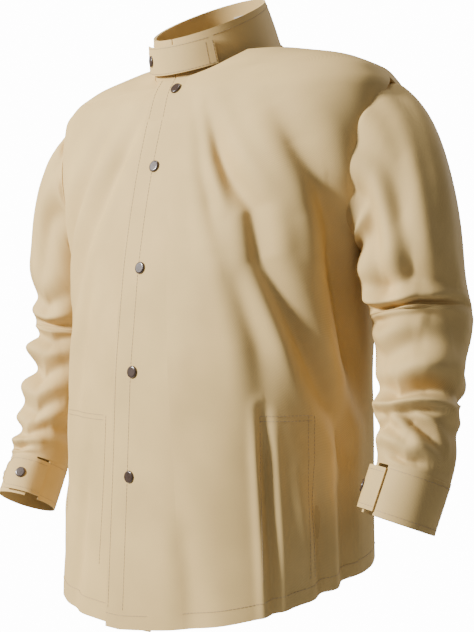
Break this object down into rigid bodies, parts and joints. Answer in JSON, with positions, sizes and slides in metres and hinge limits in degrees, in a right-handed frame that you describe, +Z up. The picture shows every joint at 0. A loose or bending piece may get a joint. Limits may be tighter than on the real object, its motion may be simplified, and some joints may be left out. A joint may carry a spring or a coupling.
{
  "type": "welding jacket",
  "caption": "Snap-front cotton welding jacket shaped as worn, with stand-up collar, throat tab, long bent sleeves and snapped cuffs.",
  "frame": {"origin": "centre-back neck seam, where the hang loop is sewn", "axes": "+Z up, +X the wearer's left, the front faces -Y"},
  "size_m": [0.7256, 0.3152, 0.8034],
  "materials": {
    "cotton_twill": "heavy khaki cotton twill with a slight sheen",
    "lining_cotton": "single-ply khaki cotton",
    "label_tape": "blank woven label tape",
    "snap_cap_enamel": "dark brown enamelled snap cap",
    "snap_metal": "plain plated snap parts",
    "bright_brass": "bright brass stud"
  },
  "bodies": {
    "torso": {"back_panel": "cotton_twill", "right_front_panel": "cotton_twill", "right_placket": "cotton_twill", "left_front_panel": "cotton_twill", "placket_top": "cotton_twill", "right_front_facing": "lining_cotton", "left_inner_pocket": "lining_cotton", "right_inner_pocket": "lining_cotton", "collar_outer": "cotton_twill", "collar_lining": "lining_cotton", "neck_label": "label_tape", "hang_loop": "cotton_twill", "neck_snap_caps": "snap_cap_enamel", "neck_snap_sockets": "snap_metal", "neck_snap_studs": "snap_metal", "neck_snap_eyelets": "snap_metal", "front_snap_studs": "snap_metal", "front_snap_eyelets": "snap_metal", "throat_snap_studs": "snap_metal", "throat_snap_eyelets": "snap_metal"},
    "throat_tab": {"throat_tab": "cotton_twill", "throat_snap_caps": "snap_cap_enamel", "throat_snap_sockets": "snap_metal"},
    "front_flap": {"front_flap": "cotton_twill", "front_flap_facing": "lining_cotton", "front_snap_caps": "snap_cap_enamel", "front_snap_sockets": "snap_metal"},
    "left_upper_sleeve": {"left_upper_sleeve": "cotton_twill", "left_underarm": "cotton_twill"},
    "left_forearm": {"left_lower_sleeve": "cotton_twill", "left_cuff_band": "cotton_twill", "left_cuff_studs": "bright_brass", "left_cuff_eyelets": "snap_metal"},
    "left_cuff_flap": {"left_cuff_flap": "cotton_twill", "left_cuff_cap": "snap_cap_enamel", "left_cuff_socket": "snap_metal"},
    "right_upper_sleeve": {"right_upper_sleeve": "cotton_twill", "right_underarm": "cotton_twill"},
    "right_forearm": {"right_lower_sleeve": "cotton_twill", "right_cuff_band": "cotton_twill", "right_cuff_studs": "bright_brass", "right_cuff_eyelets": "snap_metal"},
    "right_cuff_flap": {"right_cuff_flap": "cotton_twill", "right_cuff_cap": "snap_cap_enamel", "right_cuff_socket": "snap_metal"}
  },
  "joints": [
    {"name": "throat_tab_fold", "type": "hinge", "parent": "torso", "child": "throat_tab", "pos_m": [0.05788, -0.1502, -0.0619], "axis": [-0.107, -0.2011, 0.9737], "range_deg": [0, 110]},
    {"name": "front_flap_fold", "type": "hinge", "parent": "torso", "child": "front_flap", "pos_m": [0.0279, -0.239, -0.136], "axis": [-0.1034, 0.0468, 0.9935], "range_deg": [0, 70]},
    {"name": "left_shoulder", "type": "hinge", "parent": "torso", "child": "left_upper_sleeve", "pos_m": [0.2726, -0.078, -0.104], "axis": [0, -1, 0], "range_deg": [0, 60]},
    {"name": "right_shoulder", "type": "hinge", "parent": "torso", "child": "right_upper_sleeve", "pos_m": [-0.2726, -0.078, -0.104], "axis": [0, 1, 0], "range_deg": [0, 60]},
    {"name": "left_elbow", "type": "hinge", "parent": "left_upper_sleeve", "child": "left_forearm", "pos_m": [0.298, -0.129, -0.378], "axis": [-1, 0, 0], "range_deg": [0, 60]},
    {"name": "right_elbow", "type": "hinge", "parent": "right_upper_sleeve", "child": "right_forearm", "pos_m": [-0.308, -0.112, -0.4], "axis": [-1, 0, 0], "range_deg": [0, 60]},
    {"name": "left_cuff_fold", "type": "hinge", "parent": "left_forearm", "child": "left_cuff_flap", "pos_m": [0.30256, -0.1716, -0.56683], "axis": [0.1665, 0.3027, 0.9384], "range_deg": [0, 80]},
    {"name": "right_cuff_fold", "type": "hinge", "parent": "right_forearm", "child": "right_cuff_flap", "pos_m": [-0.2663, -0.1465, -0.60913], "axis": [-0.0331, 0.447, 0.8939], "range_deg": [0, 80]}
  ]
}
